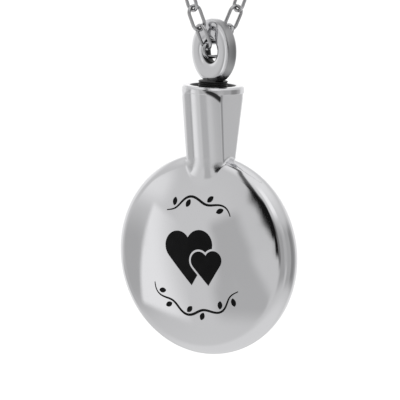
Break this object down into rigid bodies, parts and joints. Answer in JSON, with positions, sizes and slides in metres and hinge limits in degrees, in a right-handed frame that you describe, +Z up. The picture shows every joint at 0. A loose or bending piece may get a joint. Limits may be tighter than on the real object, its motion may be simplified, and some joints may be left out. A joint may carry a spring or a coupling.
{
  "type": "keepsake urn pendant on a cable chain",
  "caption": "Round hollow steel locket vessel with a screw-in ring stopper and inlaid hearts, hung on a closed cable chain necklace.",
  "frame": {"origin": "the middle of the nape, where the back of the necklace rests on the wearer's neck, at the front of the clasp", "axes": "+Z up, -Y towards the wearer's front, where the pendant hangs, +X towards the wearer's left"},
  "size_m": [0.1126, 0.1194, 0.18],
  "materials": {
    "polished_steel": "mirror polished stainless steel",
    "chain_steel": "bright tumbled stainless steel",
    "black_enamel": "black enamel filling, semi gloss"
  },
  "bodies": {
    "chain": {"chain_left": "chain_steel", "chain_right": "chain_steel", "clasp": "chain_steel"},
    "stopper": {"stopper_eye": "polished_steel"},
    "urn": {"urn_body": "polished_steel", "heart_large_fill": "black_enamel", "heart_small_fill": "black_enamel", "vine_upper_fill": "black_enamel", "vine_lower_fill": "black_enamel"}
  },
  "joints": [
    {"name": "pendant_swing", "type": "hinge", "parent": "chain", "child": "stopper", "pos_m": [0, -0.114, -0.14461], "axis": [-0.3907, -0.9205, 0], "range_deg": [-30, 30]},
    {"name": "urn_unscrew", "type": "slide", "parent": "stopper", "child": "urn", "axis": [0, 0, -1], "range_m": [0, 0.006]}
  ]
}
